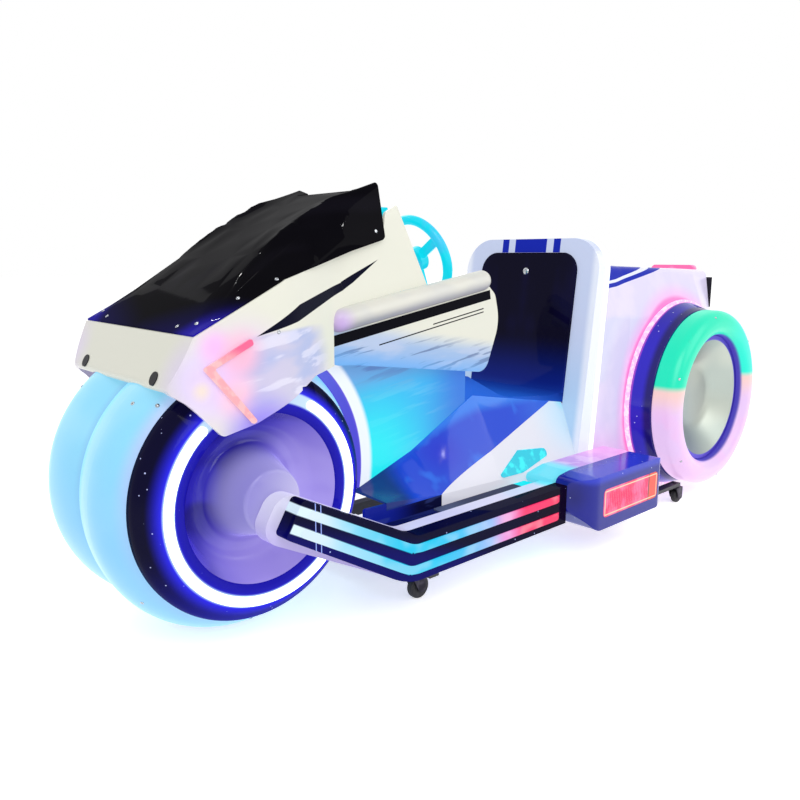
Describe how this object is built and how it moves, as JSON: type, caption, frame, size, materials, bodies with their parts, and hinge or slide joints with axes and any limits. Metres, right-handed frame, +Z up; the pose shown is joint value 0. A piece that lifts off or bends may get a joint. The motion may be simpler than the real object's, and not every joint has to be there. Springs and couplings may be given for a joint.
{
  "type": "motorcycle bumper car",
  "caption": "Battery bumper car shaped like a motorcycle, with lit dummy wheels, padded tank, bucket seat and bent side bumpers, driven by a hidden steered wheel.",
  "frame": {"origin": "on the floor, below the centre of the bounding box", "axes": "+X forward, +Y to the rider's left, +Z up"},
  "size_m": [2.3994, 0.904, 0.9993],
  "materials": {
    "frame_steel": "satin black powder coat",
    "battery": "matt grey case",
    "tyre_glow": "translucent light-blue moulding, lit from inside",
    "navy_gloss": "dark navy gel coat, high gloss",
    "blue_gloss": "royal-blue gel coat, high gloss",
    "white_gloss": "white gel coat, gloss",
    "cream_gloss": "cream gel coat, gloss",
    "black_gloss": "near-black gel coat, high gloss",
    "dish_pearl": "pearl violet gel coat",
    "led_white": "diffuser, white light",
    "led_cyan": "diffuser, cyan light",
    "led_pink": "diffuser, pink light",
    "led_red": "ribbed diffuser, red light",
    "ring_glow": "translucent ring, lit from inside",
    "hub_silver": "bright spun dish",
    "pad_grey": "ribbed grey rubber",
    "black_plastic": "moulded black",
    "wheel_cyan": "moulded rim and dash, lit cyan",
    "zinc_steel": "bright zinc",
    "tyre_black": "solid black tyre"
  },
  "bodies": {
    "frame": {"chassis_frame": "frame_steel", "battery_block": "battery", "front_tyre_shell": "tyre_glow", "front_side_rings": "navy_gloss", "front_led_rings": "led_white", "front_dishes": "dish_pearl", "cowl": "cream_gloss", "hood": "black_gloss", "dash_panel": "wheel_cyan", "chevron_leds": "led_pink", "nose_plugs": "black_plastic", "tank_shell": "cream_gloss", "knee_rolls": "cream_gloss", "tunnel": "white_gloss", "side_skirts": "white_gloss", "saddle_body": "blue_gloss", "sill_risers": "navy_gloss", "decks": "blue_gloss", "step_pads": "pad_grey", "skirt_lenses": "led_cyan", "bumper_bars": "navy_gloss", "bumper_bases": "white_gloss", "bumper_leds": "led_cyan", "light_boxes": "blue_gloss", "box_lenses": "led_red", "seat_rim": "white_gloss", "seat_shell": "navy_gloss", "seat_led_trim": "led_white", "rear_body": "white_gloss", "rear_fender_rings": "blue_gloss", "rear_lit_rings": "ring_glow", "rear_led_rings": "led_pink", "rear_hub_dishes": "hub_silver", "tail_lamp": "led_pink", "rear_bar": "black_plastic"},
    "steering": {"steering_wheel": "wheel_cyan", "steering_column": "black_plastic"},
    "drive_unit": {"drive_fork": "frame_steel"},
    "drive_wheel": {"drive_hub": "black_plastic", "drive_tyre": "tyre_black"},
    "castor_front_left": {"castor_fork_front_left": "zinc_steel"},
    "castor_roller_front_left": {"castor_wheel_front_left": "tyre_black"},
    "castor_front_right": {"castor_fork_front_right": "zinc_steel"},
    "castor_roller_front_right": {"castor_wheel_front_right": "tyre_black"},
    "castor_rear_left": {"castor_fork_rear_left": "zinc_steel"},
    "castor_roller_rear_left": {"castor_wheel_rear_left": "tyre_black"},
    "castor_rear_right": {"castor_fork_rear_right": "zinc_steel"},
    "castor_roller_rear_right": {"castor_wheel_rear_right": "tyre_black"}
  },
  "joints": [
    {"name": "steering_turn", "type": "hinge", "parent": "frame", "child": "steering", "pos_m": [0.23, 0, 0.824], "axis": [0.9397, 0, -0.342], "range_deg": [-90, 90]},
    {"name": "drive_steer", "type": "hinge", "parent": "frame", "child": "drive_unit", "pos_m": [0.887, 0, 0.1], "axis": [0, 0, 1], "range_deg": [-90, 90]},
    {"name": "drive_spin", "type": "hinge", "parent": "drive_unit", "child": "drive_wheel", "pos_m": [0.887, 0, 0.1], "axis": [0, 1, 0], "continuous": true},
    {"name": "swivel_front_left", "type": "hinge", "parent": "frame", "child": "castor_front_left", "pos_m": [0.494, 0.262, 0.03], "axis": [0, 0, 1], "continuous": true},
    {"name": "roll_front_left", "type": "hinge", "parent": "castor_front_left", "child": "castor_roller_front_left", "pos_m": [0.474, 0.262, 0.03], "axis": [0, 1, 0], "continuous": true},
    {"name": "swivel_front_right", "type": "hinge", "parent": "frame", "child": "castor_front_right", "pos_m": [0.494, -0.262, 0.03], "axis": [0, 0, 1], "continuous": true},
    {"name": "roll_front_right", "type": "hinge", "parent": "castor_front_right", "child": "castor_roller_front_right", "pos_m": [0.474, -0.262, 0.03], "axis": [0, 1, 0], "continuous": true},
    {"name": "swivel_rear_left", "type": "hinge", "parent": "frame", "child": "castor_rear_left", "pos_m": [-0.678, 0.323, 0.025], "axis": [0, 0, 1], "continuous": true},
    {"name": "roll_rear_left", "type": "hinge", "parent": "castor_rear_left", "child": "castor_roller_rear_left", "pos_m": [-0.696, 0.323, 0.025], "axis": [0, 1, 0], "continuous": true},
    {"name": "swivel_rear_right", "type": "hinge", "parent": "frame", "child": "castor_rear_right", "pos_m": [-0.678, -0.323, 0.025], "axis": [0, 0, 1], "continuous": true},
    {"name": "roll_rear_right", "type": "hinge", "parent": "castor_rear_right", "child": "castor_roller_rear_right", "pos_m": [-0.696, -0.323, 0.025], "axis": [0, 1, 0], "continuous": true}
  ],
  "couplings": [
    {"joint": "drive_steer", "follows": "steering_turn", "ratio": -1}
  ]
}
